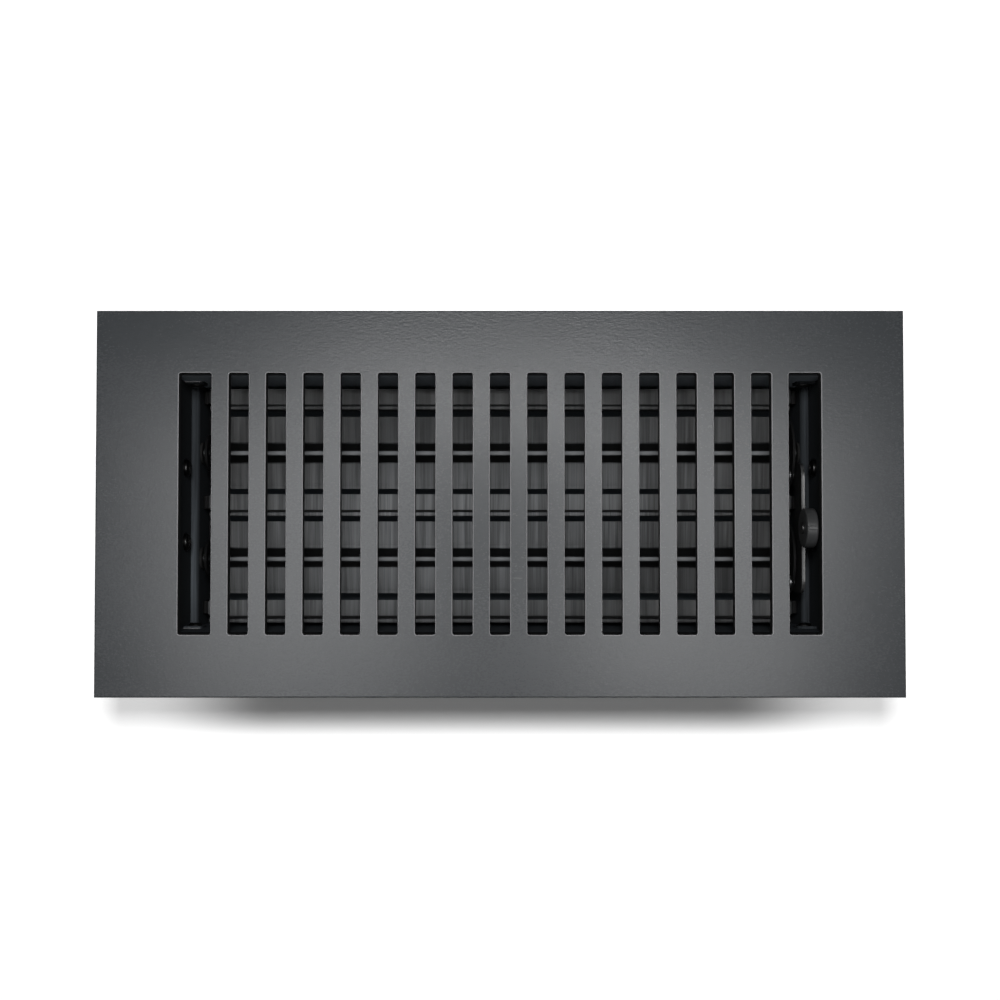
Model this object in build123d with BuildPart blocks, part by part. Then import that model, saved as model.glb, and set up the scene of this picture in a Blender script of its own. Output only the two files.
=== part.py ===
from build123d import *
import math
import os

# Floor register: a slotted cast faceplate over a folded steel box with a two-blade damper.
# Millimetres. X runs along the register to the knob end, Y across it to the rear, Z up.
# The origin is in the middle of the box, in the plane of its bottom flanges.

# Faceplate
slot_count = 15
slot_pitch = 13.5
slot_width = 7.4
slot_length = 94.7
slot_corner = 0.9
slot_rim_bevel = 0.25
end_slot_width = 11.9
end_margin = 29.85
side_margin = 22.5
plate_web = 4.5
plate_edge_round = 0.5
rim_depth = 1.0
rim_width = 8.0

# Damper box, folded from one gauge of sheet
sheet = 0.9
bend_radius = 1.0
box_height = 47.5
bottom_flange = 6.0
flange_corner_gap = 1.0
wall_setback = 2.7
joggle_depth = 2.9
joggle_rise = 5.5
corner_tab_length = 7.0
corner_tab_height = 9.0
corner_tab_rise = 2.0
corner_tab_round = 2.0

# Blades
blade_width = 28.2
rest_tilt = 5.0
bead_foot_width = 7.4
bead_crest_width = 1.5
bead_height = 6.8
bead_round = 1.0
flat_drop = 2.7
crease_width = 0.8
crease_depth = 0.45
crease_inset = 1.2
left_ear_radius = 7.0
left_end_gap = 2.5

# Rails between and beside the blades
rail_width = 8.6
rail_gap = 1.6
rail_ear_gap = 0.25
rail_wall_gap = 1.4
rail_rise = 2.5
rail_lip_height = 4.0
rail_lip_round = 0.6
rail_end_gap = 2.7
rail_step = 4.0
rail_tab_height = 8.0
rail_tab_inset = 0.6

# Pivot rods, their bushes and push-on clips
rod_radius = 1.6
rod_fit = 0.05
rod_overhang = 0.4
rod_end_bevel = 0.3
floor_gap = 0.6
bush_wall = 1.3
bush_fit = 0.05
bush_flange_radius = 4.2
bush_flange_thickness = 0.8
bush_tail = 0.3
clip_fit = 0.02
clip_radius = 3.0
clip_thickness = 0.4
clip_gap = 0.15
clip_notch_width = 0.8
clip_notch_depth = 0.5
clip_notch_count = 3

# Link plate, its two crank pins and the thumb knob
crank_radius = 12.0
crank_angle = 137.0
ear_edge = 2.5
link_thickness = 1.2
link_wall_gap = 2.5
link_ear_gap = 0.5
link_lobe_radius = 4.0
link_knob_gap = 0.5
link_arch_rise = 2.0
link_corner = 5.0
link_arch_round = 1.5
pin_radius = 1.5
pin_fit = 0.05
open_pivot_clearance = 0.3
pin_head_radius = 2.8
pin_head_thickness = 0.9
pin_head_gap = 0.15
pin_tail_radius = 2.4
pin_tail_thickness = 0.7
pin_edge_bevel = 0.35
lever_width = 8.0
lever_round = 2.0
knob_radius = 7.2
knob_thickness = 4.2
knob_edge_round = 0.7
knob_stand = 0.3
knob_ridge_width = 1.4
knob_ridge_height = 0.5
knob_fit = 0.05
knob_rivet_radius = 1.2
knob_rivet_head_radius = 2.1
knob_rivet_head_thickness = 0.5

# Cast lugs and the screws that hold the box ends to them
lug_spacing = 28.0
lug_width = 10.0
lug_thickness = 4.0
lug_drop = 17.0
lug_root_round = 1.5
screw_radius = 2.0
screw_fit = 0.05
screw_wall_clearance = 0.3
screw_end_gap = 0.3
screw_head_radius = 3.3
screw_head_height = 1.7
screw_head_round = 1.1
screw_recess_width = 0.9
screw_recess_length = 3.2
screw_recess_depth = 0.9

# Rivets of the box corners and the rail tabs
rivet_radius = 1.5
rivet_fit = 0.05
rivet_head_radius = 2.6
rivet_head_height = 1.0
rivet_head_bevel = 0.6
rivet_tail_radius = 2.2
rivet_tail_height = 0.7

# Margin for picking edges by their place
pick_margin = 0.05

# Places along X, worked outwards from the slots
bar_width = slot_pitch - slot_width
end_slot_inner = (slot_count - 1) / 2 * slot_pitch + slot_width / 2 + bar_width
end_slot_centre = end_slot_inner + end_slot_width / 2
end_slot_outer = end_slot_inner + end_slot_width
plate_length = 2 * (end_slot_outer + end_margin)
plate_width = slot_length + 2 * side_margin
upper_inner_x = end_slot_outer + wall_setback
upper_outer_x = upper_inner_x + sheet
lower_inner_x = upper_inner_x - joggle_depth
lower_outer_x = lower_inner_x + sheet
link_outer_x = lower_inner_x - link_wall_gap
link_inner_x = link_outer_x - link_thickness
link_middle_x = link_inner_x + link_thickness / 2
ear_outer_x = link_inner_x - link_ear_gap
ear_inner_x = ear_outer_x - sheet
rail_end_x = lower_inner_x - rail_end_gap
left_end_x = left_end_gap - lower_inner_x
bush_end_x = lower_outer_x + bush_tail
clip_inner_x = bush_end_x + clip_gap
rod_end_x = clip_inner_x + clip_thickness + rod_overhang

# Places across Y, worked out from the blades' swing
blade_reach = math.hypot(blade_width / 2, flat_drop + sheet)
ear_radius = crank_radius + ear_edge
rail_clear = max(blade_reach + rail_gap, ear_radius + rail_ear_gap)
blade_pitch = 2 * rail_clear + rail_width
rail_pitch = blade_pitch / 2 + rail_clear + rail_width / 2
box_inner_y = rail_pitch + rail_width / 2 + rail_wall_gap
box_outer_y = box_inner_y + sheet
crank_offset_y = crank_radius * math.cos(math.radians(crank_angle))

# Heights
plate_top = box_height + plate_web
rim_bottom = box_height - rim_depth
pivot_height = sheet + floor_gap + max(blade_reach, ear_radius)
joggle_height = pivot_height + joggle_rise
rail_height = pivot_height + rail_rise
rail_lip = 2 * sheet
rail_flat_width = rail_width - rail_lip - crease_width
rail_flat_offset = (rail_width - rail_flat_width) / 2
rail_foot_height = rail_height - rail_step
rail_rivet_height = rail_foot_height - sheet - rail_tab_height / 2
tab_bottom = joggle_height + corner_tab_rise
tab_rivet_height = tab_bottom + corner_tab_height / 2
tab_rivet_x = upper_inner_x - corner_tab_length / 2
screw_height = box_height - lug_drop
pin_height = pivot_height + crank_radius * math.sin(math.radians(crank_angle))
link_arch = pin_height + link_arch_rise
knob_height = plate_top + knob_stand - knob_radius
link_top = knob_height - knob_radius - link_knob_gap

blade_sides = {"rear": 1, "front": -1}
rail_places = {"rear": rail_pitch, "centre": 0.0, "front": -rail_pitch}
parts = []


def finish(builder, label):
    """Label a finished piece and keep it for writing."""
    builder.part.label = label
    parts.append(builder.part)


# Faceplate: a flat casting with a shallow seating rim and four tongue-shaped lugs
with BuildPart() as faceplate:
    with BuildSketch(Plane.XY.offset(rim_bottom)):
        Rectangle(plate_length, plate_width)
    extrude(amount=plate_top - rim_bottom)
    with BuildSketch(Plane.XY.offset(rim_bottom)):
        Rectangle(plate_length - 2 * rim_width, plate_width - 2 * rim_width)
    extrude(amount=rim_depth, mode=Mode.SUBTRACT)
    with BuildSketch(Plane.XY.offset(box_height)):
        with GridLocations(slot_pitch, slot_length, slot_count, 1):
            RectangleRounded(slot_width, slot_length, slot_corner)
        with GridLocations(2 * end_slot_centre, slot_length, 2, 1):
            RectangleRounded(end_slot_width, slot_length, slot_corner)
    extrude(amount=plate_web, mode=Mode.SUBTRACT)
    top_face = faceplate.faces().sort_by(Axis.Z)[-1]
    fillet(top_face.outer_wire().edges(), plate_edge_round)
    top_face = faceplate.faces().sort_by(Axis.Z)[-1]
    slot_rims = top_face.inner_wires()
    chamfer([edge for rim in slot_rims for edge in rim.edges()], slot_rim_bevel)
    for side in (-1, 1):
        with BuildSketch(Plane.YZ.offset(side * upper_outer_x)):
            with Locations((-lug_spacing / 2, screw_height), (lug_spacing / 2, screw_height)):
                Circle(lug_width / 2)
                Rectangle(lug_width, lug_drop, align=(Align.CENTER, Align.MIN))
                Circle(screw_radius + screw_fit, mode=Mode.SUBTRACT)
        extrude(amount=side * lug_thickness)
    lug_inner = upper_outer_x + pick_margin
    lug_outer = upper_outer_x + lug_thickness + pick_margin
    seat_edges = faceplate.edges().filter_by_position(
        Axis.Z, box_height - pick_margin, box_height + pick_margin
    )
    lug_roots = seat_edges.filter_by(lambda edge: lug_inner < abs(edge.center().X) < lug_outer)
    fillet(lug_roots, lug_root_round)
finish(faceplate, "faceplate")


# Long walls of the box, with a stiffening flange folded in along the bottom
def build_long_wall(side):
    """Fold one long wall of the box on the given side of Y."""
    flange_half = lower_inner_x - bottom_flange - flange_corner_gap
    with BuildPart() as wall:
        with BuildSketch(Plane.YZ):
            with BuildLine():
                FilletPolyline(
                    (side * box_outer_y, box_height),
                    (side * box_outer_y, 0),
                    (side * (box_inner_y - bottom_flange), 0),
                    radius=bend_radius + sheet,
                )
                offset(amount=sheet, side=Side.RIGHT if side > 0 else Side.LEFT)
            make_face()
        extrude(amount=flange_half, both=True)
        with BuildSketch(Plane.XZ.offset(-side * box_inner_y)):
            with Locations((0, box_height)):
                Rectangle(
                    2 * upper_outer_x,
                    box_height - sheet - bend_radius,
                    align=(Align.CENTER, Align.MAX),
                )
        extrude(amount=-side * sheet)
        with BuildSketch(Plane.XZ.offset(-side * box_inner_y)):
            with Locations((-tab_rivet_x, tab_rivet_height), (tab_rivet_x, tab_rivet_height)):
                Circle(rivet_radius + rivet_fit)
        extrude(amount=-side * sheet, mode=Mode.SUBTRACT)
    return wall


for name, side in blade_sides.items():
    finish(build_long_wall(side), f"{name}_wall")


# End walls: joggled inwards below the slots so that the rod ends lie inside the box's outline
with BuildPart() as right_end_wall:
    with BuildSketch(Plane.XZ):
        with BuildLine():
            FilletPolyline(
                (upper_outer_x, box_height),
                (upper_outer_x, joggle_height - sheet),
                (lower_outer_x, joggle_height - sheet),
                (lower_outer_x, 0),
                (lower_inner_x - bottom_flange, 0),
                radius=bend_radius,
            )
            offset(amount=sheet, side=Side.RIGHT)
        make_face()
    extrude(amount=box_inner_y, both=True)
    for side in (-1, 1):
        with BuildSketch(Plane.XZ.offset(-side * box_inner_y)) as corner_tab:
            with Locations((upper_inner_x, tab_bottom)):
                Rectangle(corner_tab_length, corner_tab_height, align=(Align.MAX, Align.MIN))
            fillet(corner_tab.vertices().group_by(Axis.X)[0], corner_tab_round)
            with Locations((tab_rivet_x, tab_rivet_height)):
                Circle(rivet_radius + rivet_fit, mode=Mode.SUBTRACT)
        extrude(amount=side * sheet)
    with BuildSketch(Plane.YZ.offset(lower_inner_x)):
        with GridLocations(blade_pitch, 0, 2, 1):
            with Locations((0, pivot_height)):
                Circle(rod_radius + rod_fit + bush_wall + bush_fit)
        for place in rail_places.values():
            with Locations((place + rail_flat_offset, rail_rivet_height)):
                Circle(rivet_radius + rivet_fit)
    extrude(amount=sheet, mode=Mode.SUBTRACT)
    with BuildSketch(Plane.YZ.offset(upper_inner_x)):
        with Locations((-lug_spacing / 2, screw_height), (lug_spacing / 2, screw_height)):
            Circle(screw_radius + screw_wall_clearance)
    extrude(amount=sheet, mode=Mode.SUBTRACT)
finish(right_end_wall, "right_end_wall")

with BuildPart() as left_end_wall:
    mirror(right_end_wall.part, about=Plane.YZ)
finish(left_end_wall, "left_end_wall")


# Rails: a flat strip with a pressed crease and a hemmed lip, on stepped feet riveted to the end walls
def build_rail(place):
    """Fold one rail centred at the given Y, as one half that is mirrored."""
    flat_near = place - rail_width / 2
    foot_middle = place + rail_flat_offset
    foot_half = rail_flat_width / 2 - rail_tab_inset
    with BuildPart() as rail:
        with BuildSketch(Plane.YZ):
            with Locations((place + rail_width / 2, rail_height)):
                Rectangle(rail_width, sheet, align=(Align.MAX, Align.MAX))
            with Locations((flat_near + rail_lip, rail_height)):
                Rectangle(crease_width, crease_depth, align=(Align.MIN, Align.MAX), mode=Mode.SUBTRACT)
        extrude(amount=rail_end_x - bend_radius)
        with BuildSketch(Plane.YZ) as lip:
            with Locations((flat_near, rail_height - sheet)):
                Rectangle(rail_lip, rail_lip_height + sheet, align=(Align.MIN, Align.MIN))
            fillet(lip.vertices().group_by(Axis.Y)[-1], rail_lip_round)
        extrude(amount=rail_end_x - rail_lip)
        with BuildSketch(Plane.XZ.offset(-foot_middle)):
            with BuildLine():
                FilletPolyline(
                    (0, rail_height),
                    (rail_end_x, rail_height),
                    (rail_end_x, rail_foot_height),
                    (lower_inner_x, rail_foot_height),
                    (lower_inner_x, rail_foot_height - sheet - rail_tab_height),
                    radius=bend_radius,
                )
                offset(amount=sheet, side=Side.RIGHT)
            make_face()
        extrude(amount=foot_half, both=True)
        with BuildSketch(Plane.YZ.offset(lower_inner_x)):
            with Locations((foot_middle, rail_rivet_height)):
                Circle(rivet_radius + rivet_fit)
        extrude(amount=-sheet, mode=Mode.SUBTRACT)
        mirror(about=Plane.YZ)
    return rail


for name, place in rail_places.items():
    finish(build_rail(place), f"{name}_rail")


# Blades: each turns about its pivot rod, and is drawn in a plane tilted as it rests
def blade_plane(side, x=0.0):
    """Give the tilted section plane of one blade at a place along X."""
    tilt = math.radians(rest_tilt)
    return Plane(
        origin=(x, side * blade_pitch / 2, pivot_height),
        x_dir=(0, math.cos(tilt), math.sin(tilt)),
        z_dir=(1, 0, 0),
    )


def crank_point():
    """Give the crank pin's place in a blade's own section plane."""
    angle = math.radians(crank_angle - rest_tilt)
    return (crank_radius * math.cos(angle), crank_radius * math.sin(angle))


def build_blade(side):
    """Stamp one blade with its stiffening bead and turned-up ears."""
    half = blade_width / 2
    foot = bead_foot_width / 2
    crest = bead_crest_width / 2
    with BuildPart() as blade:
        with BuildSketch(blade_plane(side, left_end_x)):
            with BuildLine():
                FilletPolyline(
                    (-half, -flat_drop),
                    (-foot, -flat_drop),
                    (-crest, bead_height - flat_drop),
                    (crest, bead_height - flat_drop),
                    (foot, -flat_drop),
                    (half, -flat_drop),
                    radius=bead_round,
                )
                offset(amount=sheet, side=Side.RIGHT)
            make_face()
            with Locations((-half + crease_inset, -flat_drop), (foot + crease_inset, -flat_drop)):
                Rectangle(
                    crease_width,
                    2 * crease_depth,
                    align=(Align.MIN, Align.CENTER),
                    mode=Mode.SUBTRACT,
                )
        extrude(amount=ear_outer_x - left_end_x)
        with BuildSketch(blade_plane(side, ear_inner_x)):
            Circle(ear_radius)
            with Locations((0, -flat_drop - sheet)):
                Rectangle(
                    2 * ear_radius,
                    ear_radius,
                    align=(Align.CENTER, Align.MAX),
                    mode=Mode.SUBTRACT,
                )
            with Locations(crank_point()):
                Circle(pin_radius + rod_fit, mode=Mode.SUBTRACT)
        extrude(amount=sheet)
        with BuildSketch(blade_plane(side, left_end_x)):
            Circle(left_ear_radius)
            with Locations((0, -flat_drop - sheet)):
                Rectangle(
                    2 * left_ear_radius,
                    left_ear_radius,
                    align=(Align.CENTER, Align.MAX),
                    mode=Mode.SUBTRACT,
                )
        extrude(amount=sheet)
        with BuildSketch(blade_plane(side, left_end_x)):
            Circle(rod_radius + rod_fit)
        extrude(amount=ear_outer_x - left_end_x, mode=Mode.SUBTRACT)
    return blade


def build_rod(side):
    """Turn one pivot rod with lightly chamfered ends."""
    with BuildPart() as rod:
        with BuildSketch(Plane.YZ):
            with Locations((side * blade_pitch / 2, pivot_height)):
                Circle(rod_radius)
        extrude(amount=rod_end_x, both=True)
        chamfer(rod.edges().filter_by(GeomType.CIRCLE), rod_end_bevel)
    return rod


def build_rod_clips(side):
    """Stamp the two push-on clips of one rod, with notches that let the teeth spring."""
    with BuildPart() as clips:
        for end in (-1, 1):
            with BuildSketch(Plane.YZ.offset(end * clip_inner_x)):
                with Locations((side * blade_pitch / 2, pivot_height)):
                    Circle(clip_radius)
                    Circle(rod_radius + clip_fit, mode=Mode.SUBTRACT)
                    with PolarLocations(rod_radius + clip_fit, clip_notch_count):
                        Rectangle(2 * clip_notch_depth, clip_notch_width, mode=Mode.SUBTRACT)
            extrude(amount=end * clip_thickness)
    return clips


def build_crank_pin(side):
    """Turn one shouldered crank pin, riveted over behind the blade's ear."""
    pin_y = side * blade_pitch / 2 + crank_offset_y
    head_x = link_outer_x + pin_head_gap
    with BuildPart() as pin:
        with BuildSketch(Plane.YZ.offset(ear_inner_x)):
            with Locations((pin_y, pin_height)):
                Circle(pin_radius)
        extrude(amount=head_x - ear_inner_x)
        with BuildSketch(Plane.YZ.offset(head_x)):
            with Locations((pin_y, pin_height)):
                Circle(pin_head_radius)
        extrude(amount=pin_head_thickness)
        chamfer(pin.faces().sort_by(Axis.X)[-1].edges(), pin_edge_bevel)
        with BuildSketch(Plane.YZ.offset(ear_inner_x)):
            with Locations((pin_y, pin_height)):
                Circle(pin_tail_radius)
        extrude(amount=-pin_tail_thickness)
        chamfer(pin.faces().sort_by(Axis.X)[0].edges(), pin_edge_bevel)
    return pin


for name, side in blade_sides.items():
    finish(build_blade(side), f"{name}_blade")
    finish(build_rod(side), f"{name}_pivot_rod")
    finish(build_rod_clips(side), f"{name}_rod_clips")
    finish(build_crank_pin(side), f"{name}_crank_pin")


# Flanged bushes that carry the rods in the end walls
with BuildPart() as right_bushes:
    with BuildSketch(Plane.YZ.offset(lower_inner_x)):
        with GridLocations(blade_pitch, 0, 2, 1):
            with Locations((0, pivot_height)):
                Circle(rod_radius + rod_fit + bush_wall)
                Circle(rod_radius + rod_fit, mode=Mode.SUBTRACT)
    extrude(amount=sheet + bush_tail)
    with BuildSketch(Plane.YZ.offset(lower_inner_x)):
        with GridLocations(blade_pitch, 0, 2, 1):
            with Locations((0, pivot_height)):
                Circle(bush_flange_radius)
                Circle(rod_radius + rod_fit, mode=Mode.SUBTRACT)
    extrude(amount=-bush_flange_thickness)
finish(right_bushes, "right_bushes")

with BuildPart() as left_bushes:
    mirror(right_bushes.part, about=Plane.YZ)
finish(left_bushes, "left_bushes")


# Link plate: lobes at the crank pins, an arch that clears the centre rail, a lever to the knob
front_pin_y = -blade_pitch / 2 + crank_offset_y
rear_pin_y = blade_pitch / 2 + crank_offset_y
link_length = blade_pitch + 2 * link_lobe_radius
arch_length = blade_pitch - 2 * link_lobe_radius
lever_top = knob_height + lever_width / 2
with BuildPart() as link_plate:
    with BuildSketch(Plane.YZ.offset(link_inner_x)) as link_outline:
        with Locations((crank_offset_y, link_top)):
            Rectangle(link_length, link_top - pin_height, align=(Align.CENTER, Align.MAX))
        fillet(link_outline.vertices().group_by(Axis.Y)[-1], link_corner)
        with Locations((front_pin_y, pin_height), (rear_pin_y, pin_height)):
            Circle(link_lobe_radius)
        with Locations((crank_offset_y, pin_height)):
            Rectangle(
                arch_length,
                link_arch - pin_height,
                align=(Align.CENTER, Align.MIN),
                mode=Mode.SUBTRACT,
            )
        arch_corners = link_outline.vertices().filter_by_position(
            Axis.Y, link_arch - pick_margin, link_arch + pick_margin
        )
        fillet(arch_corners, link_arch_round)
        with Locations((crank_offset_y, link_top)):
            Rectangle(lever_width, knob_height - link_top, align=(Align.CENTER, Align.MIN))
        lever_roots = link_outline.vertices().filter_by_position(
            Axis.Y, link_top - pick_margin, link_top + pick_margin
        )
        fillet(lever_roots.sort_by(Axis.X)[1:3], lever_round)
        with Locations((crank_offset_y, knob_height)):
            Circle(lever_width / 2)
            Circle(knob_rivet_radius + knob_fit, mode=Mode.SUBTRACT)
        with Locations((rear_pin_y, pin_height)):
            Circle(pin_radius + pin_fit, mode=Mode.SUBTRACT)
        with Locations((front_pin_y, pin_height)):
            Circle(pin_radius + open_pivot_clearance, mode=Mode.SUBTRACT)
    extrude(amount=link_thickness)
finish(link_plate, "link_plate")

# Knob: a thumb disc slotted from below over the lever, with one grip ridge across its rim
with BuildPart() as knob:
    with BuildSketch(Plane.YZ.offset(link_middle_x)):
        with Locations((crank_offset_y, knob_height)):
            Circle(knob_radius)
    extrude(amount=knob_thickness / 2, both=True)
    fillet(knob.edges().filter_by(GeomType.CIRCLE), knob_edge_round)
    with BuildSketch(Plane.YZ.offset(link_middle_x)) as ridge:
        with Locations((crank_offset_y, knob_height + knob_radius + knob_ridge_height)):
            Rectangle(
                knob_ridge_width,
                2 * knob_ridge_height,
                align=(Align.CENTER, Align.MAX),
            )
        fillet(ridge.vertices().group_by(Axis.Y)[-1], knob_ridge_height / 2)
    extrude(amount=knob_thickness / 2 - knob_edge_round, both=True)
    with BuildSketch(Plane.YZ.offset(link_middle_x)):
        with Locations((crank_offset_y, knob_height)):
            Circle(lever_width / 2 + knob_fit)
            Rectangle(lever_width + 2 * knob_fit, knob_radius, align=(Align.CENTER, Align.MAX))
    extrude(amount=link_thickness / 2 + knob_fit, both=True, mode=Mode.SUBTRACT)
    with BuildSketch(Plane.YZ.offset(link_middle_x)):
        with Locations((crank_offset_y, knob_height)):
            Circle(knob_rivet_radius + knob_fit)
    extrude(amount=knob_thickness / 2, both=True, mode=Mode.SUBTRACT)
finish(knob, "knob")

with BuildPart() as knob_rivet:
    with BuildSketch(Plane.YZ.offset(link_middle_x)):
        with Locations((crank_offset_y, knob_height)):
            Circle(knob_rivet_radius)
    extrude(amount=knob_thickness / 2, both=True)
    for end in (-1, 1):
        with BuildSketch(Plane.YZ.offset(link_middle_x + end * knob_thickness / 2)):
            with Locations((crank_offset_y, knob_height)):
                Circle(knob_rivet_head_radius)
        extrude(amount=end * knob_rivet_head_thickness)
finish(knob_rivet, "knob_rivet")


# Fasteners: pan-head screws into the lugs, rivets through the corner tabs and the rail tabs
def build_screw(end, place):
    """Turn one pan-head lug screw with a cross recess."""
    with BuildPart() as screw:
        with BuildSketch(Plane.YZ.offset(end * upper_inner_x)):
            with Locations((place, screw_height)):
                Circle(screw_head_radius)
        extrude(amount=-end * screw_head_height)
        head_face = screw.faces().sort_by(Axis.X, reverse=end < 0)[0]
        fillet(head_face.edges(), screw_head_round)
        with BuildSketch(Plane.YZ.offset(end * (upper_inner_x - screw_head_height))):
            with Locations((place, screw_height)):
                Rectangle(screw_recess_length, screw_recess_width)
                Rectangle(screw_recess_width, screw_recess_length)
        extrude(amount=end * screw_recess_depth, mode=Mode.SUBTRACT)
        with BuildSketch(Plane.YZ.offset(end * upper_inner_x)):
            with Locations((place, screw_height)):
                Circle(screw_radius)
        extrude(amount=end * (sheet + lug_thickness - screw_end_gap))
    return screw


def build_rivet(head_plane, grip):
    """Form one rivet whose head sits on the given plane and whose tail closes the grip."""
    with BuildPart() as rivet:
        with BuildSketch(head_plane):
            Circle(rivet_head_radius)
        extrude(amount=rivet_head_height)
        head_face = rivet.faces().sort_by(Axis(head_plane.origin, head_plane.z_dir))[-1]
        chamfer(head_face.edges(), rivet_head_bevel)
        with BuildSketch(head_plane):
            Circle(rivet_radius)
        extrude(amount=-grip)
        with BuildSketch(head_plane.offset(-grip)):
            Circle(rivet_tail_radius)
        extrude(amount=-rivet_tail_height)
    return rivet


def corner_seat(end, side):
    """Give the plane that one corner rivet's head sits on."""
    return Plane(
        origin=(end * tab_rivet_x, side * (box_inner_y - sheet), tab_rivet_height),
        z_dir=(0, -side, 0),
    )


def rail_seat(end, place):
    """Give the plane that one rail rivet's head sits on."""
    return Plane(
        origin=(end * (lower_inner_x - sheet), place + rail_flat_offset, rail_rivet_height),
        z_dir=(-end, 0, 0),
    )


ends = (-1, 1)
lug_places = (-lug_spacing / 2, lug_spacing / 2)
screws = [build_screw(end, place) for end in ends for place in lug_places]
corner_joints = [build_rivet(corner_seat(end, side), 2 * sheet) for end in ends for side in ends]
rail_joints = [
    build_rivet(rail_seat(end, place), 2 * sheet)
    for end in ends
    for place in rail_places.values()
]

with BuildPart() as lug_screws:
    add([screw.part for screw in screws])
finish(lug_screws, "lug_screws")

with BuildPart() as corner_rivets:
    add([rivet.part for rivet in corner_joints])
finish(corner_rivets, "corner_rivets")

with BuildPart() as rail_rivets:
    add([rivet.part for rivet in rail_joints])
finish(rail_rivets, "rail_rivets")

os.makedirs("parts", exist_ok=True)
for piece in parts:
    export_step(piece, f"parts/{piece.label}.step")
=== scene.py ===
"""Floor register: a satin black cast faceplate over a painted sheet-steel damper, in studio light."""

import logging
from dataclasses import dataclass
from enum import Enum
from typing import Any, Optional, Union

import bpy
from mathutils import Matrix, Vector


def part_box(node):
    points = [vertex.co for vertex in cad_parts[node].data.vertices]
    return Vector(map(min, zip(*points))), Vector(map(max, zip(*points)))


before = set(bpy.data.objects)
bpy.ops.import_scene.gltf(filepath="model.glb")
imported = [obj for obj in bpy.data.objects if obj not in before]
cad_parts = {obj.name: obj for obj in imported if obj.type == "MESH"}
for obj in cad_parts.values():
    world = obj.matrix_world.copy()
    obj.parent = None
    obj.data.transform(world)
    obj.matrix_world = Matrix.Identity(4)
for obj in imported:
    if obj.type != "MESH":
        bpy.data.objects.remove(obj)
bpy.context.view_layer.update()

log = logging.getLogger("register")

Pair = tuple[float, float]
Point = tuple[float, float, float]
Colour = tuple[float, float, float, float]
Key = Union[int, str]

MM = 0.001

# Corners and axes of a box
LOW, HIGH = 0, 1
X, Y, Z = 0, 1, 2

# The Mix node's sockets for colours, which share their names with its other sockets
MIX_FACTOR, MIX_LOW, MIX_HIGH, MIX_RESULT = 0, 6, 7, 2


def grey(level: float, tint: float = 0.0) -> Colour:
    """Give a grey colour, a little bluer by the tint.

    Args:
        level: linear brightness from 0 to 1.
        tint: share by which blue is raised and red is lowered.

    Returns:
        The colour with full opacity.
    """
    return (level * (1 - tint), level, level * (1 + tint), 1.0)


def shade(colour: Colour, share: float) -> Colour:
    """Give a lighter or darker shade of a colour."""
    return (colour[0] * share, colour[1] * share, colour[2] * share, colour[3])


class Value:
    """A shader socket that takes part in Python arithmetic."""

    def __init__(self, board: "Board", socket: Optional[bpy.types.NodeSocket]) -> None:
        """Keep the socket and the board that its nodes go on.

        Args:
            board: the node tree's board.
            socket: the output socket that this value comes from, or none for a closing node.
        """
        self.board = board
        self.socket = socket

    def _math(self, operation: str, first: Any, second: Any) -> "Value":
        """Add a Math node.

        Args:
            operation: the node's operation.
            first: its first number or value.
            second: its second number or value.

        Returns:
            The node's result.
        """
        return self.board.node("ShaderNodeMath", {"operation": operation}, {0: first, 1: second})

    def __add__(self, other: Any) -> "Value":
        """Add a number or a value."""
        return self._math("ADD", self, other)

    def __radd__(self, other: Any) -> "Value":
        """Add this value to a number."""
        return self._math("ADD", other, self)

    def __sub__(self, other: Any) -> "Value":
        """Take away a number or a value."""
        return self._math("SUBTRACT", self, other)

    def __rsub__(self, other: Any) -> "Value":
        """Take this value from a number."""
        return self._math("SUBTRACT", other, self)

    def __mul__(self, other: Any) -> "Value":
        """Multiply by a number or a value."""
        return self._math("MULTIPLY", self, other)

    def __rmul__(self, other: Any) -> "Value":
        """Multiply a number by this value."""
        return self._math("MULTIPLY", other, self)

    def __abs__(self) -> "Value":
        """Give the size without its sign."""
        return self._math("ABSOLUTE", self, 0.0)

    def over(self, low: float, high: float) -> "Value":
        """Rise smoothly from 0 at low to 1 at high, or fall where low is the larger.

        Args:
            low: where the result is 0.
            high: where the result is 1.

        Returns:
            The mask from 0 to 1.
        """
        return self.board.node(
            "ShaderNodeMapRange",
            {"interpolation_type": "SMOOTHSTEP"},
            {"Value": self, "From Min": low, "From Max": high},
        )


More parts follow.
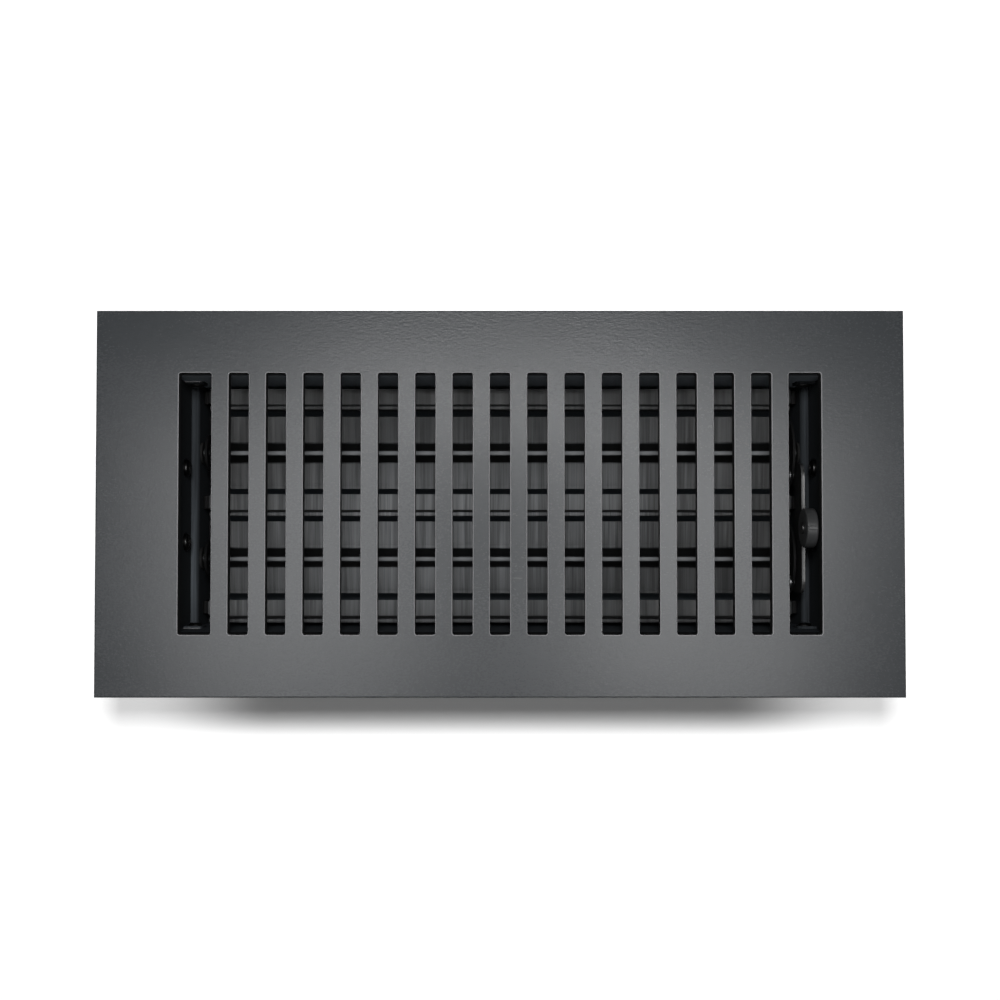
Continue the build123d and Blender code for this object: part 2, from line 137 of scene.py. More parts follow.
class Board:
    """One node tree, with a method that adds any node."""

    def __init__(self, tree: bpy.types.NodeTree) -> None:
        """Empty the tree.

        Args:
            tree: the node tree of a material or a world.
        """
        self.tree = tree
        tree.nodes.clear()

    def node(
        self, kind: str, settings: dict[str, Any], inputs: dict[Key, Any], output: Key = 0
    ) -> Value:
        """Add one node.

        Args:
            kind: the node's type.
            settings: the node's own settings, set first.
            inputs: numbers, colours or values by the sockets' names or numbers.
            output: the output that is wanted.

        Returns:
            That output as a value.
        """
        node = self.tree.nodes.new(kind)
        for name, setting in settings.items():
            setattr(node, name, setting)
        for key, source in inputs.items():
            if isinstance(source, Value):
                self.tree.links.new(source.socket, node.inputs[key])
            else:
                node.inputs[key].default_value = source
        return Value(self, node.outputs[output] if len(node.outputs) else None)

    def place(self) -> Value:
        """Give the point on the piece in its own coordinates."""
        return self.node("ShaderNodeTexCoord", {}, {}, "Object")

    def facing(self) -> Value:
        """Give the surface's direction in the piece's own coordinates."""
        return self.node("ShaderNodeTexCoord", {}, {}, "Normal")

    def along(self, vector: Value, axis: str) -> Value:
        """Give one axis of a vector."""
        return self.node("ShaderNodeSeparateXYZ", {}, {0: vector}, axis)

    def inside(self, half: Pair, fade: float) -> Value:
        """Mask an upright box about the piece's middle.

        Args:
            half: half of its length along X and of its width along Y, in metres.
            fade: how far outside it the mask ends, in metres.

        Returns:
            The mask from 0 to 1.
        """
        spot = self.place()
        across = abs(self.along(spot, "X")).over(half[X] + fade, half[X])
        along = abs(self.along(spot, "Y")).over(half[Y] + fade, half[Y])
        return across * along

    def noise(self, grain: Point, detail: float = 2.0, roughness: float = 0.5) -> Value:
        """Add noise whose grain may be longer along one axis.

        Args:
            grain: the grain's size in metres along X, Y and Z.
            detail: how many finer layers it has.
            roughness: how strong those layers are.

        Returns:
            The noise from 0 to 1.
        """
        scale = tuple(1 / size for size in grain)
        spot = self.node("ShaderNodeVectorMath", {"operation": "MULTIPLY"}, {0: self.place(), 1: scale})
        return self.node(
            "ShaderNodeTexNoise",
            {},
            {"Vector": spot, "Scale": 1.0, "Detail": detail, "Roughness": roughness},
            "Fac",
        )

    def mix(self, factor: Value, low: Any, high: Any) -> Value:
        """Mix two colours by a value."""
        sockets = {MIX_FACTOR: factor, MIX_LOW: low, MIX_HIGH: high}
        return self.node("ShaderNodeMix", {"data_type": "RGBA"}, sockets, MIX_RESULT)

    def bump(self, height: Value, depth: float) -> Value:
        """Give the surface relief.

        Args:
            height: the relief from 0 to 1.
            depth: its depth in metres.

        Returns:
            The changed normal.
        """
        sockets = {"Strength": 1.0, "Distance": depth, "Height": height}
        return self.node("ShaderNodeBump", {}, sockets, "Normal")


class BareEdge(Enum):
    """Where a painted sheet's cut edge shows bare metal."""

    NONE = "none"
    TOP = "top"
    LEFT_END = "left end"


class LampUse(Enum):
    """What a soft lamp is for."""

    LIGHT = "lights matt surfaces and casts shadows"
    CARD = "shows in glossy surfaces"


@dataclass(frozen=True)
class Finish:
    """What all finishes share."""

    name: str
    colour: Colour
    roughness: float
    sheen: float = 0.5

    def material(self) -> bpy.types.Material:
        """Make the material.

        Returns:
            The finished material.
        """
        material = bpy.data.materials.new(self.name)
        material.use_nodes = True
        board = Board(material.node_tree)
        surface = board.node("ShaderNodeBsdfPrincipled", {}, self.surface(board), "BSDF")
        board.node("ShaderNodeOutputMaterial", {}, {"Surface": surface})
        return material

    def surface(self, board: Board) -> dict[Key, Any]:
        """Give the surface's inputs.

        Args:
            board: the material's board.

        Returns:
            The principled surface's sockets and what feeds them.
        """
        raise NotImplementedError


@dataclass(frozen=True)
class CastPaint(Finish):
    """Satin paint on a casting whose grain shows through it, with one faint scratch."""

    grain: Point = (0.9 * MM, 0.6 * MM, 0.6 * MM)
    grain_detail: float = 1.5
    grain_share: float = 0.4
    grain_relief: float = 0.55
    peel: Point = (2.0 * MM, 1.1 * MM, 1.1 * MM)
    peel_share: float = 0.3
    cloud: Point = (46 * MM, 34 * MM, 34 * MM)
    cloud_share: float = 0.3
    darkest: float = 0.7
    palest: float = 1.3
    depth: float = 0.062 * MM
    coarse_half: Pair = (115 * MM, 20 * MM)
    coarse_rear: Pair = (40 * MM, 58 * MM)
    coarse_share: float = 0.95
    fine_share: float = 0.55
    gloss_swing: float = 0.06
    level_slope: Pair = (0.75, 0.97)
    side_shade_share: float = 0.6
    side_roughness: float = 0.8
    slot_field: Pair = (116.5 * MM, 48.5 * MM)
    slot_field_fade: float = 1.0 * MM
    slot_wall_shade_share: float = 0.1
    rim_from: Pair = (0.3, 0.6)
    rim_to: Pair = (0.97, 0.85)
    rim_highlight_colour: Colour = (0.3, 0.3, 0.31, 1.0)
    scratch_place: Pair = (6.2 * MM, -27.2 * MM)
    scratch_length: float = 4.4 * MM
    scratch_ends: Pair = (0.5, 0.3)
    scratch_width: float = 0.3 * MM
    scratch_core: float = 0.2
    scratch_bend: Point = (3 * MM, 4 * MM, 4 * MM)
    scratch_swing: float = 2.0
    scratch_breaks: Pair = (0.3, 0.5)
    scratch_colour: Colour = (0.2, 0.2, 0.205, 1.0)
    scratch_share: float = 0.22
    scratch_gloss: float = 0.1

    def surface(self, board: Board) -> dict[Key, Any]:
        """Give the paint's colour, gloss and relief.

        Args:
            board: the material's board.

        Returns:
            The principled surface's sockets and what feeds them.
        """
        grain = board.noise(self.grain, self.grain_detail)
        peel = board.noise(self.peel)
        cloud = board.noise(self.cloud)
        tone = grain * self.grain_share + peel * self.peel_share + cloud * self.cloud_share
        paint = board.mix(tone, shade(self.colour, self.darkest), shade(self.colour, self.palest))
        # Painted shade: faces steeper than the level top take a darker shade of the paint, nearly black
        # on the slot walls inside the slot field.
        slope = board.along(board.facing(), "Z")
        upward = slope.over(*self.level_slope)
        field = board.inside(self.slot_field, self.slot_field_fade)
        side = board.mix(field, shade(self.colour, self.side_shade_share), shade(self.colour, self.slot_wall_shade_share))
        # Painted highlight: the bevels round the slots are painted a pale grey.
        rim_highlight = slope.over(*self.rim_from) * slope.over(*self.rim_to) * field
        paint = board.mix(rim_highlight, board.mix(upward, side, paint), self.rim_highlight_colour)
        scratch = self.scratch(board)
        gloss = self.roughness + (cloud + grain - 1) * self.gloss_swing - scratch * self.scratch_gloss
        height = grain * self.grain_relief + peel * (1 - self.grain_relief)
        return {
            "Base Color": board.mix(scratch, paint, self.scratch_colour),
            "Roughness": self.side_roughness + (gloss - self.side_roughness) * upward,
            "Specular IOR Level": self.sheen,
            "Normal": board.bump(height * self.relief(board), self.depth),
        }

    def relief(self, board: Board) -> Value:
        """Give the grain's strength, which is greatest in the middle of the rear margin.

        Args:
            board: the material's board.

        Returns:
            The share of the full depth.
        """
        spot = board.place()
        middle = abs(board.along(spot, "X")).over(*self.coarse_half)
        coarse = middle * board.along(spot, "Y").over(*self.coarse_rear)
        return self.fine_share + coarse * (self.coarse_share - self.fine_share)

    def scratch(self, board: Board) -> Value:
        """Mask the scratch on the bar that carries it.

        Args:
            board: the material's board.

        Returns:
            The mask from 0 to 1.
        """
        spot = board.place()
        wander = board.noise(self.scratch_bend) * (self.scratch_width * self.scratch_swing)
        along = abs(board.along(spot, "X") - self.scratch_place[X])
        across = abs(board.along(spot, "Y") - self.scratch_place[Y] - wander)
        line = across.over(self.scratch_width, self.scratch_core * self.scratch_width)
        span = along.over(*(share * self.scratch_length for share in self.scratch_ends))
        broken = board.noise(self.grain).over(*self.scratch_breaks)
        return line * span * broken * self.scratch_share


@dataclass(frozen=True)
class SheetPaint(Finish):
    """Thin black paint on rolled sheet, streaked, with painted light on its flats and painted shade on
    its steep faces, bare on cut edges.
    """

    grain: Point = (0.5 * MM, 0.5 * MM, 0.5 * MM)
    grain_share: float = 0.1
    grain_gloss: float = 0.06
    depth: float = 0.02 * MM
    streak: Point = (0.55 * MM, 40 * MM, 40 * MM)
    streak_edges: Pair = (0.3, 0.7)
    streak_roughness: float = 0.6
    streak_share: float = 0.5
    band: Point = (2.4 * MM, 60 * MM, 60 * MM)
    band_edges: Pair = (0.4, 0.6)
    gloss_share: float = 0.16
    palest: float = 6.0
    # The painted pool of light over the middle of the opening:
    pool_mottle: Point = (6 * MM, 30 * MM, 30 * MM)
    pool_mottle_least: float = 0.5
    pool_middle: Pair = (-18 * MM, -12 * MM)
    pool_near: Pair = (10 * MM, 8 * MM)
    pool_far: Pair = (125 * MM, 50 * MM)
    light_pool_share: float = 4.2
    level_slope: Pair = (0.5, 0.92)
    lit_half: float = 1.0
    lit_half_fade: float = 0.2 * MM
    lit_from: float = 0.0
    lit_from_fade: float = 0.1 * MM
    crest_from: float = 1.0
    crest_fade: float = 0.4 * MM
    crest_painted_light: float = 6.0
    side_shade_share: float = 0.16
    side_roughness: float = 0.7
    rear_share: float = 1.0
    rear_slope: Pair = (-0.3, 0.3)
    bare: BareEdge = BareEdge.NONE
    bare_from: float = 0.0
    bare_to: float = 1.0
    bare_axis: str = "Y"
    bare_beyond: float = 0.0
    bare_top_fade: float = 0.3 * MM
    bare_top_slope: Pair = (0.75, 0.95)
    bare_aside_fade: float = 0.1 * MM
    bare_end_fade: float = 0.2 * MM
    bare_end_slope: Pair = (-0.8, -0.95)
    bare_flecks: Pair = (0.3, 0.45)
    metal: Colour = (0.42, 0.42, 0.43, 1.0)

    def surface(self, board: Board) -> dict[Key, Any]:
        """Give the sheet's colour, gloss, metal and relief.

        Args:
            board: the material's board.

        Returns:
            The principled surface's sockets and what feeds them.
        """
        fine = board.noise(self.streak, roughness=self.streak_roughness).over(*self.streak_edges)
        broad = board.noise(self.band, roughness=self.streak_roughness).over(*self.band_edges)
        streak = fine * 0.5 + broad * 0.5
        grain = board.noise(self.grain)
        upward = self.lit_face_mask(board)
        lit_paint = self.lit_face_colour(board, streak, grain)
        # Painted shade: steep faces, folded ends and creases take a darker shade of the paint.
        paint = board.mix(upward, shade(self.colour, self.side_shade_share), lit_paint)
        # Faces turned to the rear are darkened by the rear share, so painted light stays only on faces
        # turned forward.
        if self.rear_share < 1:
            outside = board.along(board.facing(), "Y").over(*self.rear_slope)
            paint = board.mix(outside, paint, shade(self.colour, self.rear_share))
        gloss = self.roughness + (0.5 - streak) * self.gloss_share
        gloss = self.side_roughness + (gloss - self.side_roughness) * upward
        inputs: dict[Key, Any] = {
            "Base Color": paint,
            "Roughness": gloss + (grain - 0.5) * self.grain_gloss,
            "Specular IOR Level": self.sheen,
            "Normal": board.bump(grain * 0.5 + fine * 0.5, self.depth),
        }
        if self.bare is not BareEdge.NONE:
            bare = self.bare_mask(board) * grain.over(*self.bare_flecks)
            inputs |= {"Base Color": board.mix(bare, paint, self.metal), "Metallic": bare}
        return inputs

    def lit_face_colour(self, board: Board, streak: Value, grain: Value) -> Value:
        """Give the colour of the level faces, streaked, with a painted pool of light and crests painted
        paler as highlight or darker as shade.

        Args:
            board: the material's board.
            streak: the rolled sheet's streaks from 0 to 1.
            grain: the paint's grain from 0 to 1.

        Returns:
            The colour.
        """
        tone = streak * (1 - self.grain_share) + grain * self.grain_share
        tone = 1 - self.streak_share + tone * (2 * self.streak_share)
        # Painted light: a pool of light over the middle of the opening brightens the level faces.
        tone = tone * (1 + self.light_pool_mask(board) * self.light_pool_share)
        lit_paint = board.mix(tone * (1 / self.palest), grey(0.0), shade(self.colour, self.palest))
        # Painted light on the crests: a share above 1 paints a highlight, below 1 paints shade.
        height = board.along(board.place(), "Z")
        crest = height.over(self.crest_from - self.crest_fade, self.crest_from)
        return board.mix(crest, lit_paint, shade(self.colour, self.crest_painted_light))

    def light_pool_mask(self, board: Board) -> Value:
        """Mask the painted pool of light, strongest in a slanting band across the middle of the opening
        and mottled by noise.

        Args:
            board: the material's board.

        Returns:
            The mask from 0 to 1.
        """
        spot = board.place()
        deep = board.along(spot, "Y")
        across = board.along(spot, "X") - deep
        pool_light = board.noise(self.pool_mottle) * (1 - self.pool_mottle_least) + self.pool_mottle_least
        for axis, reach in enumerate((across, deep)):
            away = abs(reach - self.pool_middle[axis])
            pool_light = pool_light * away.over(self.pool_far[axis], self.pool_near[axis])
        return pool_light

    def lit_face_mask(self, board: Board) -> Value:
        """Mask the level faces that keep the lit paint, short of the folded ends and the creases, which
        take painted shade.

        Args:
            board: the material's board.

        Returns:
            The mask from 0 to 1.
        """
        spot = board.place()
        level = abs(board.along(board.facing(), "Z")).over(*self.level_slope)
        inside = abs(board.along(spot, "X")).over(self.lit_half + self.lit_half_fade, self.lit_half)
        above = board.along(spot, "Z").over(self.lit_from - self.lit_from_fade, self.lit_from)
        return level * inside * above

    def bare_mask(self, board: Board) -> Value:
        """Mask the cut edge that the paint has left bare, at the left end or on top.

        Args:
            board: the material's board.

        Returns:
            The mask from 0 to 1.
        """
        spot = board.place()
        facing = board.facing()
        if self.bare is BareEdge.LEFT_END:
            end = board.along(spot, "X").over(self.bare_from + self.bare_end_fade, self.bare_from)
            return board.along(facing, "X").over(*self.bare_end_slope) * end
        level = board.along(spot, "Z")
        above = level.over(self.bare_from - self.bare_top_fade, self.bare_from)
        below = level.over(self.bare_to + self.bare_top_fade, self.bare_to)
        aside = abs(board.along(spot, self.bare_axis))
        aside = aside.over(self.bare_beyond, self.bare_beyond + self.bare_aside_fade)
        return board.along(facing, "Z").over(*self.bare_top_slope) * above * below * aside


@dataclass(frozen=True)
class PlatedSteel(Finish):
    """Plated steel with turning lines round it."""

    line: Point = (0.25 * MM, 3 * MM, 3 * MM)
    line_roughness: float = 0.6
    line_gloss: float = 0.1
    depth: float = 0.01 * MM
    dull: Point = (2 * MM, 2 * MM, 2 * MM)
    dull_detail: float = 3.0
    dull_edges: Pair = (0.35, 0.75)
    dull_share: float = 0.7
    dull_gloss: float = 0.12

    def surface(self, board: Board) -> dict[Key, Any]:
        """Give the plating's colour, gloss and relief.

        Args:
            board: the material's board.

        Returns:
            The principled surface's sockets and what feeds them.
        """
        line = board.noise(self.line, roughness=self.line_roughness)
        dull = board.noise(self.dull, self.dull_detail).over(*self.dull_edges)
        return {
            "Base Color": board.mix(dull, self.colour, shade(self.colour, self.dull_share)),
            "Metallic": 1.0,
            "Roughness": self.roughness + line * self.line_gloss + dull * self.dull_gloss,
            "Normal": board.bump(line, self.depth),
        }


@dataclass(frozen=True)
class Moulding(Finish):
    """Moulded black plastic with a fine spark-eroded texture."""

    grain: Point = (0.22 * MM, 0.22 * MM, 0.22 * MM)
    grain_gloss: float = 0.1
    depth: float = 0.025 * MM
    rub: Point = (5 * MM, 5 * MM, 5 * MM)
    rub_detail: float = 3.0
    rub_edges: Pair = (0.4, 0.75)
    rub_share: float = 1.35
    rub_gloss: float = 0.08

    def surface(self, board: Board) -> dict[Key, Any]:
        """Give the plastic's colour, gloss and relief.

        Args:
            board: the material's board.

        Returns:
            The principled surface's sockets and what feeds them.
        """
        grain = board.noise(self.grain)
        rub = board.noise(self.rub, self.rub_detail).over(*self.rub_edges)
        return {
            "Base Color": board.mix(rub, self.colour, shade(self.colour, self.rub_share)),
            "Roughness": self.roughness + grain * self.grain_gloss - rub * self.rub_gloss,
            "Specular IOR Level": self.sheen,
            "Normal": board.bump(grain, self.depth),
        }


@dataclass(frozen=True)
class FloorPaint(Finish):
    """Pale matt floor that keeps the register's shadow, painted dark under the box as shade, and clear
    from below.
    """

    mottle: Point = (0.4, 0.4, 0.4)
    mottle_share: float = 0.99
    # The dark patch under the box is painted shade.
    under_box_shade: Colour = grey(0.04, 0.15)
    under_box_half: Pair = (118 * MM, 45 * MM)
    under_box_fade: float = 1.0 * MM
    under_box_glow: Colour = grey(0.0032, 0.15)
    far_glow: Colour = grey(0.5)
    near_glow: Colour = grey(0.005)
    edge_glow: Colour = grey(1.0)
    edge_from: Pair = (0.28, 0.7)
    shadow_half: Pair = (145 * MM, 90 * MM)
    shadow_front: Pair = (-96 * MM, -84 * MM)
    shadow_rear: Pair = (70 * MM, 40 * MM)

    def surface(self, board: Board) -> dict[Key, Any]:
        """Give the floor's colour, its glow and its clear underside.

        Args:
            board: the material's board.

        Returns:
            The principled surface's sockets and what feeds them.
        """
        pale = board.mix(board.noise(self.mottle), shade(self.colour, self.mottle_share), self.colour)
        # Painted shade: the floor under the box is dark and barely glows, so the gaps between the blades
        # look black.
        under_box = board.inside(self.under_box_half, self.under_box_fade)
        glow = board.mix(under_box, self.glow(board), self.under_box_glow)
        underside = board.node("ShaderNodeNewGeometry", {}, {}, "Backfacing")
        return {
            "Base Color": board.mix(under_box, pale, self.under_box_shade),
            "Roughness": self.roughness,
            "Specular IOR Level": self.sheen,
            "Alpha": 1 - underside,
            "Emission Color": board.mix(self.seen(board), grey(0.0), glow),
            "Emission Strength": 1.0,
        }

    def glow(self, board: Board) -> Value:
        """Give the glow that whitens the floor, faint in the shadow and full far off.

        Args:
            board: the material's board.

        Returns:
            The glow's colour.
        """
        spot = board.place()
        deep = board.along(spot, "Y")
        # Painted shadow: the glow is held back over a box in front of the plate, fading towards its
        # ends, so the shadow shows only there and fades towards the corners.
        shadow = abs(board.along(spot, "X")).over(*self.shadow_half)
        shadow = shadow * deep.over(*self.shadow_front) * deep.over(*self.shadow_rear)
        glow = board.mix(shadow, self.far_glow, self.near_glow)
        reach = board.node("ShaderNodeVectorMath", {"operation": "LENGTH"}, {0: spot}, "Value")
        return board.mix(reach.over(*self.edge_from), glow, self.edge_glow)

    def seen(self, board: Board) -> Value:
        """Give 1 for rays from the camera and for mirrored or passing rays.

        Args:
            board: the material's board.

        Returns:
            The share from 0 to 1.
        """
        kinds = ("Is Camera Ray", "Is Glossy Ray", "Is Transmission Ray")
        camera, glossy, passing = [board.node("ShaderNodeLightPath", {}, {}, kind) for kind in kinds]
        return (camera + glossy + passing).over(0.0, 1.0)


@dataclass
class SubAssembly:
    """Pieces that belong together in the register."""

    def finishes(self) -> dict[str, Finish]:
        """Give the finish of every node.

        Returns:
            The finishes by the nodes' names.
        """
        raise NotImplementedError

    def dress(self) -> None:
        """Give every node its finish."""
        made: dict[str, bpy.types.Material] = {}
        for node, finish in self.finishes().items():
            if finish.name not in made:
                made[finish.name] = finish.material()
            mesh = bpy.data.objects[node].data
            mesh.materials.clear()
            mesh.materials.append(made[finish.name])
            log.info("dressed %s in %s", node, finish.name)


@dataclass
class Faceplate(SubAssembly):
    """The cast faceplate."""

    paint: Colour = grey(0.037, 0.1)
    roughness: float = 0.27
    sheen: float = 0.3

    def finishes(self) -> dict[str, Finish]:
        """Give the faceplate its satin paint."""
        return {"faceplate": CastPaint("faceplate_paint", self.paint, self.roughness, self.sheen)}


@dataclass
class DamperBox(SubAssembly):
    """The folded box with the rails that its blades close against."""

    # Painted light: the rear wall's inner face is painted pale where light falls on it; the outside
    # share takes its outer faces back to dark.
    rear_lit_paint: Colour = grey(0.24, 0.12)
    rear_outside_share: float = 0.125
    front_paint: Colour = grey(0.03, 0.15)
    front_inside_share: float = 1.0
    end_paint: Colour = grey(0.025, 0.12)
    wall_roughness: float = 0.92
    wall_sheen: float = 0.1
    wall_side_shade_share: float = 1.0
    wall_top_painted_shade: float = 0.08
    tab_top: float = 32.55 * MM
    tab_margin: float = 0.4 * MM
    tab_line: float = 1.3 * MM
    rail_paint: Colour = grey(0.027, 0.04)
    rail_roughness: float = 0.4
    rail_sheen: float = 0.25
    rail_lip: float = 4.0 * MM
    rail_crease: float = 0.25 * MM

    def finishes(self) -> dict[str, Finish]:
        """Give the walls and rails their black paint, bare on the left corner tabs' cut tops, with
        painted shade on the wall tops and rail creases and painted light on the rear wall's inner face.

        Returns:
            The finishes by the nodes' names.
        """
        long_walls = {
            f"{place}_wall": SheetPaint(
                f"{place}_wall_paint",
                paint,
                self.wall_roughness,
                self.wall_sheen,
                side_shade_share=self.wall_side_shade_share,
                # Painted shade: the wall tops are painted near black.
                crest_from=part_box("rear_wall")[HIGH][Z],
                crest_painted_light=self.wall_top_painted_shade,
                rear_share=rear_share,
            )
            for place, paint, rear_share in (
                ("rear", self.rear_lit_paint, self.rear_outside_share),
                ("front", self.front_paint, self.front_inside_share),
            )
        }
        end_walls = {
            f"{place}_end_wall": SheetPaint(
                f"{place}_end_wall_paint",
                self.end_paint,
                self.wall_roughness,
                self.wall_sheen,
                side_shade_share=self.wall_side_shade_share,
                crest_from=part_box("rear_wall")[HIGH][Z],
                crest_painted_light=self.wall_top_painted_shade,
                bare=bare,
                bare_from=self.tab_top - self.tab_margin,
                bare_to=self.tab_top + self.tab_margin,
                bare_beyond=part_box("rear_wall")[HIGH][Y] - self.tab_line,
            )
            for place, bare in (("left", BareEdge.TOP), ("right", BareEdge.NONE))
        }
        rail = SheetPaint(
            "rail_paint",
            self.rail_paint,
            self.rail_roughness,
            self.rail_sheen,
            # Painted shade: the rail's faces below its flat, in the crease and lower, take the dark
            # shade of the steep faces.
            lit_from=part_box("centre_rail")[HIGH][Z] - self.rail_lip - self.rail_crease,
        )
        return long_walls | end_walls | {f"{place}_rail": rail for place in ("rear", "centre", "front")}


@dataclass
class DamperBlades(SubAssembly):
    """The two blades with their rods, clips and bushes."""

    paint: Colour = grey(0.027, 0.04)
    roughness: float = 0.36
    sheen: float = 0.16
    ear: float = 1.3 * MM
    crest: float = 3.9 * MM
    zinc: Colour = grey(0.14, 0.02)
    zinc_roughness: float = 0.42
    clip_steel: Colour = grey(0.04, 0.02)
    clip_roughness: float = 0.55
    nylon: Colour = grey(0.012)
    nylon_roughness: float = 0.65
    nylon_sheen: float = 0.12

    def finishes(self) -> dict[str, Finish]:
        """Give the blades black paint, the rods and clips plating and the bushes plain nylon.

        Returns:
            The finishes by the nodes' names.
        """
        left_end, right_end = (corner[X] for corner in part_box("rear_blade"))
        blade = SheetPaint(
            "blade_paint",
            self.paint,
            self.roughness,
            self.sheen,
            # Painted shade: the folded ears beyond this reach take the dark shade of the steep faces.
            lit_half=min(-left_end, right_end) - self.ear,
            # Painted highlight: the bead crests above this height are painted paler.
            crest_from=sum(corner[Z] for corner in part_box("rear_pivot_rod")) / 2 + self.crest,
            bare=BareEdge.LEFT_END,
            bare_from=left_end,
        )
        rod = PlatedSteel("rod_zinc", self.zinc, self.zinc_roughness)
        clip = PlatedSteel("clip_steel", self.clip_steel, self.clip_roughness)
        bush = Moulding("bush_nylon", self.nylon, self.nylon_roughness, self.nylon_sheen)
        nodes: dict[str, Finish] = {"left_bushes": bush, "right_bushes": bush}
        for side in ("rear", "front"):
            nodes |= {f"{side}_blade": blade, f"{side}_pivot_rod": rod, f"{side}_rod_clips": clip}
        return nodes


@dataclass
class Linkage(SubAssembly):
    """The link plate that joins the blades, with its crank pins and thumb knob."""

    paint: Colour = grey(0.04, 0.03)
    roughness: float = 0.42
    sheen: float = 0.35
    cut_edge_depth: float = 3.0 * MM
    bare_steel: Colour = grey(0.09)
    bare_width: float = 0.75 * MM
    zinc: Colour = grey(0.3, 0.02)
    zinc_roughness: float = 0.32
    plastic: Colour = grey(0.027, 0.03)
    plastic_roughness: float = 0.42
    plastic_sheen: float = 0.38
    rivet_steel: Colour = grey(0.1)
    rivet_roughness: float = 0.35

    def finishes(self) -> dict[str, Finish]:
        """Give the link plate black paint with a bare top edge, and the knob plain plastic.

        Returns:
            The finishes by the nodes' names.
        """
        link_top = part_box("knob")[LOW][Z]
        plate = SheetPaint(
            "link_paint",
            self.paint,
            self.roughness,
            self.sheen,
            bare=BareEdge.TOP,
            bare_from=link_top - self.cut_edge_depth,
            bare_to=link_top,
            bare_axis="X",
            bare_beyond=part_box("link_plate")[HIGH][X] - self.bare_width,
            metal=self.bare_steel,
        )
        pin = PlatedSteel("pin_zinc", self.zinc, self.zinc_roughness)
        return {
            "link_plate": plate,
            "rear_crank_pin": pin,
            "front_crank_pin": pin,
            "knob": Moulding("knob_plastic", self.plastic, self.plastic_roughness, self.plastic_sheen),
            "knob_rivet": PlatedSteel("knob_rivet_steel", self.rivet_steel, self.rivet_roughness),
        }


@dataclass
class Fasteners(SubAssembly):
    """The lug screws and the rivets of the corners and rails."""

    black_zinc: Colour = grey(0.05)
    black_zinc_roughness: float = 0.24
    rivet_steel: Colour = grey(0.03)
    rivet_roughness: float = 0.45

    def finishes(self) -> dict[str, Finish]:
        """Give the screws black plating and the rivets dull steel.

        Returns:
            The finishes by the nodes' names.
        """
        screw = PlatedSteel("screw_black_zinc", self.black_zinc, self.black_zinc_roughness)
        rivet = PlatedSteel("rivet_steel", self.rivet_steel, self.rivet_roughness)
        return {"lug_screws": screw, "corner_rivets": rivet, "rail_rivets": rivet}


@dataclass(frozen=True)
class Softbox:
    """One soft lamp, or a bright card that shows only in glossy surfaces."""

    name: str
    use: LampUse
    place: Point
    width: float
    length: float
    power: float

    def build(self, target: Point) -> None:
        """Hang the lamp and aim it.

        Args:
            target: the point that it is aimed at.
        """
        light = bpy.data.lights.new(self.name, "AREA")
        light.shape = "RECTANGLE"
        light.size = self.width
        light.size_y = self.length
        light.energy = self.power
        lamp = bpy.data.objects.new(self.name, light)
        lamp.location = self.place
        aim = Vector(target) - Vector(self.place)
        lamp.rotation_euler = aim.to_track_quat("-Z", "Y").to_euler()
        lamp.visible_camera = False
        lamp.visible_diffuse = self.use is LampUse.LIGHT
        lamp.visible_glossy = self.use is LampUse.CARD
        bpy.context.scene.collection.objects.link(lamp)
        log.info("hung %s", self.name)


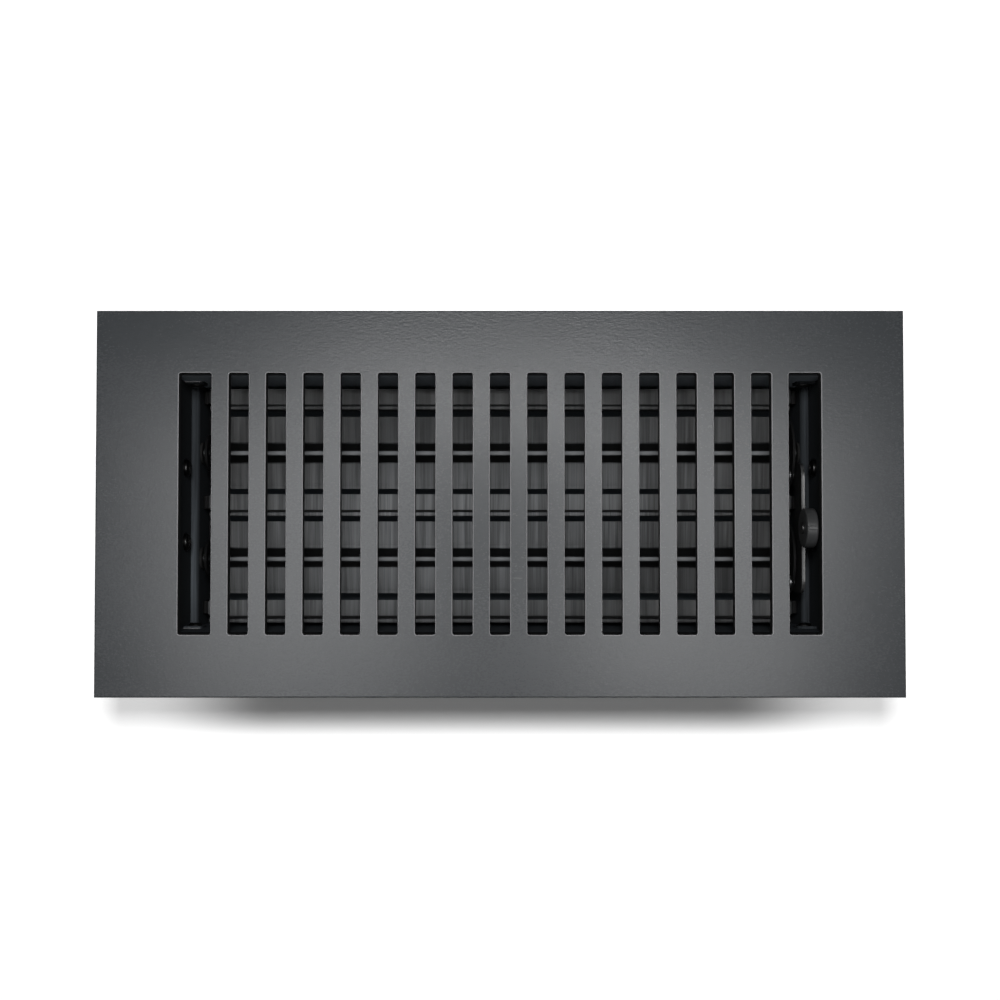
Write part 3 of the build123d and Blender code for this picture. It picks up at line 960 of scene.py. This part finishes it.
@dataclass
class Studio:
    """The pale floor, the lamps, the pale surroundings and the camera."""

    plate_top: float
    floor_size: float = 12.0
    floor_drop: float = 0.05 * MM
    floor_paint: Finish = FloorPaint("studio_floor", grey(0.92), roughness=0.9, sheen=0.0)
    key_lamp: Softbox = Softbox(
        "key_lamp", LampUse.LIGHT, (0.0, 0.14, 0.68), width=0.14, length=0.13, power=3.5
    )
    fill_lamp: Softbox = Softbox(
        "fill_lamp", LampUse.LIGHT, (0.0, -0.3, 0.65), width=0.3, length=0.2, power=0.55
    )
    rear_card: Softbox = Softbox(
        "rear_card", LampUse.CARD, (0.003, 0.109, 0.683), width=0.29, length=0.03, power=0.88
    )
    left_card: Softbox = Softbox(
        "left_card", LampUse.CARD, (-0.18, -0.037, 0.663), width=0.289, length=0.216, power=1.5
    )
    right_card: Softbox = Softbox(
        "right_card", LampUse.CARD, (0.168, -0.037, 0.663), width=0.289, length=0.216, power=1.63
    )
    horizon: float = 0.3
    ceiling: float = 0.05
    ceiling_from: float = 0.55
    camera_drop: float = 450 * MM
    camera_foot: float = -9.9 * MM
    aim_point: float = 1.26 * MM
    view_width: float = 360.7 * MM
    sensor: float = 36.0

    def build(self) -> None:
        """Set up the whole studio."""
        self.build_floor()
        self.build_world()
        for lamp in (self.key_lamp, self.fill_lamp, self.rear_card, self.left_card, self.right_card):
            lamp.build((0.0, 0.0, self.plate_top))
        self.build_camera()
        bpy.context.scene.view_settings.view_transform = "Standard"

    def build_floor(self) -> None:
        """Lay the floor just under the register's box."""
        bpy.ops.object.select_all(action="DESELECT")
        bpy.ops.mesh.primitive_plane_add(size=self.floor_size, location=(0.0, 0.0, -self.floor_drop))
        floor = bpy.context.active_object
        floor.name = "studio_floor"
        floor.data.materials.append(self.floor_paint.material())

    def build_world(self) -> None:
        """Surround the set with a pale horizon under a dim ceiling, white to the camera."""
        world = bpy.data.worlds.new("studio_world")
        world.use_nodes = True
        board = Board(world.node_tree)
        direction = board.node("ShaderNodeTexCoord", {}, {}, "Generated")
        rise = board.along(direction, "Z").over(0.0, self.ceiling_from)
        camera = board.node("ShaderNodeLightPath", {}, {}, "Is Camera Ray")
        room = self.horizon + (self.ceiling - self.horizon) * rise
        strength = camera + (1 - camera) * room
        background = board.node("ShaderNodeBackground", {}, {"Color": grey(1.0), "Strength": strength})
        board.node("ShaderNodeOutputWorld", {}, {"Surface": background})
        bpy.context.scene.world = world

    def build_camera(self) -> None:
        """Set the camera over the register, as the photograph was taken."""
        lens = bpy.data.cameras.new("studio_camera")
        lens.sensor_width = self.sensor
        place = Vector((0.0, self.camera_foot, self.plate_top + self.camera_drop))
        target = Vector((0.0, self.aim_point, self.plate_top))
        lens.lens = self.sensor * (target - place).length / self.view_width
        camera = bpy.data.objects.new("studio_camera", lens)
        camera.location = place
        camera.rotation_euler = (target - place).to_track_quat("-Z", "Y").to_euler()
        bpy.context.scene.collection.objects.link(camera)
        bpy.context.scene.camera = camera


def main() -> None:
    """Dress the register and set up the studio."""
    logging.basicConfig(level=logging.INFO, format="%(name)s: %(message)s")
    for group in (Faceplate(), DamperBox(), DamperBlades(), Linkage(), Fasteners()):
        group.dress()
    Studio(plate_top=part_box("faceplate")[HIGH][Z]).build()


if __name__ == "__main__":
    main()
